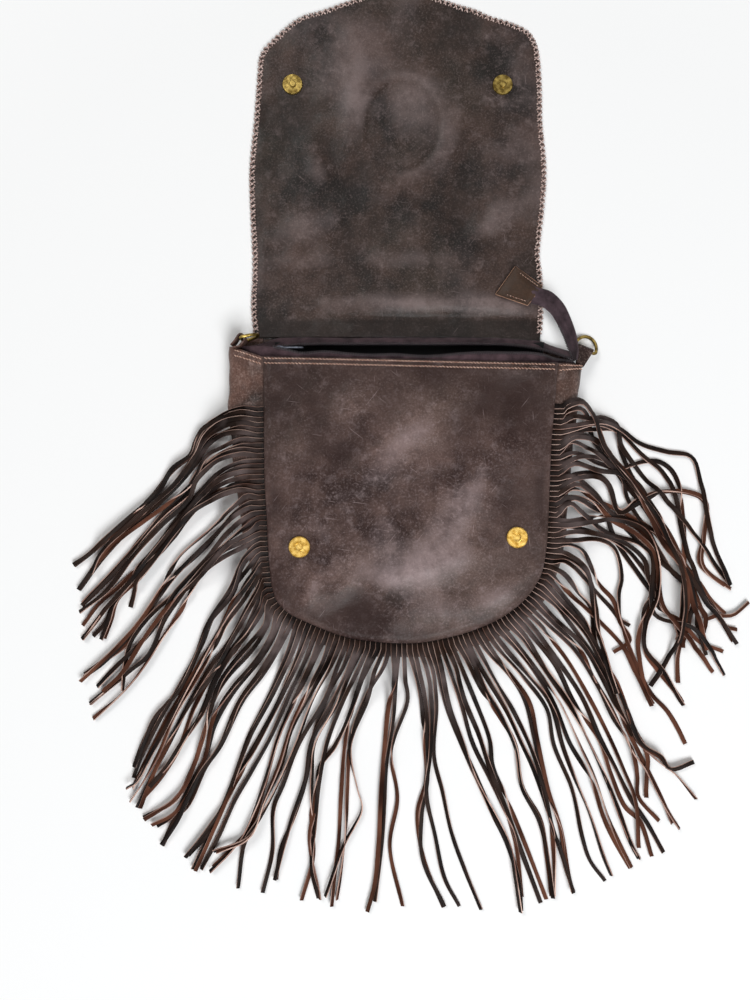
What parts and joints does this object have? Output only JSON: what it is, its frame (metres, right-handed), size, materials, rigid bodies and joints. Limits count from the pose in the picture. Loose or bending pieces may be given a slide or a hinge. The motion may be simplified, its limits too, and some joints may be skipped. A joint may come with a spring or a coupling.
{
  "type": "fringed leather crossbody bag",
  "caption": "Flat leather crossbody bag, laid open on its back, with a long fringe round its seam, a snap flap, a zip mouth and strap rings.",
  "frame": {"origin": "middle of the back panel's underside, on the surface that the bag lies on", "axes": "+X to the right of the front panel, +Y from the bag's bottom to its mouth and on to the flap's tip, +Z out of the front panel"},
  "size_m": [0.5795, 0.81, 0.0349],
  "materials": {
    "oiled_leather": "smooth dark brown oiled leather, worn to a sheen, lightly scratched",
    "gusset_leather": "the same leather, worn to a warmer brown",
    "fringe_suede": "thin leather thongs, smooth on one side and suede on the other, with pale cut edges",
    "lining_cloth": "black woven lining",
    "zip_cloth": "plum brown woven zip tape",
    "coil_nylon": "black nylon coil",
    "bright_brass": "bright brass plate",
    "antique_brass": "dull antique brass, scratched",
    "plated_steel": "plain plated steel"
  },
  "bodies": {
    "bag": {"back_panel": "oiled_leather", "front_panel": "oiled_leather", "gusset": "gusset_leather", "lining": "lining_cloth", "fringe": "fringe_suede", "snap_socket_left": "bright_brass", "snap_socket_right": "bright_brass", "snap_magnet_left": "bright_brass", "snap_magnet_right": "bright_brass", "socket_washer_left": "plated_steel", "socket_washer_right": "plated_steel", "zip_tape_front": "zip_cloth", "zip_tape_rear": "zip_cloth", "zip_coil_front": "coil_nylon", "zip_coil_rear": "coil_nylon", "strap_loop_left": "gusset_leather", "strap_loop_right": "gusset_leather"},
    "flap": {"flap_outer": "oiled_leather", "flap_lining": "oiled_leather", "snap_stud_left": "antique_brass", "snap_stud_right": "antique_brass", "stud_washer_left": "plated_steel", "stud_washer_right": "plated_steel", "zip_tail": "zip_cloth", "zip_end_tab": "oiled_leather"},
    "ring left": {"d_ring_left": "antique_brass"},
    "ring right": {"d_ring_right": "antique_brass"},
    "slider": {"zip_slider": "plated_steel"},
    "pull": {"zip_pull": "plated_steel"}
  },
  "joints": [
    {"name": "flap_hinge", "type": "hinge", "parent": "bag", "child": "flap", "pos_m": [-0.00565, 0.164, 0.0201], "axis": [0.9998, 0.0209, 0], "range_deg": [0, 180], "deforming": ["zip_tail"]},
    {"name": "ring_left_swing", "type": "hinge", "parent": "bag", "child": "ring left", "pos_m": [-0.1446, 0.1384, 0.0175], "axis": [0, 0, 1], "range_deg": [-10, 150]},
    {"name": "ring_right_swing", "type": "hinge", "parent": "bag", "child": "ring right", "pos_m": [0.1529, 0.1306, 0.0078], "axis": [0.9292, -0.3697, 0], "range_deg": [0, 150]},
    {"name": "zip_run", "type": "slide", "parent": "bag", "child": "slider", "axis": [1, 0, 0], "range_m": [0, 0.2]},
    {"name": "zip_pull_swing", "type": "hinge", "parent": "slider", "child": "pull", "pos_m": [-0.112, 0.1308, 0.018], "axis": [0, 0, 1], "range_deg": [0, 170]}
  ]
}
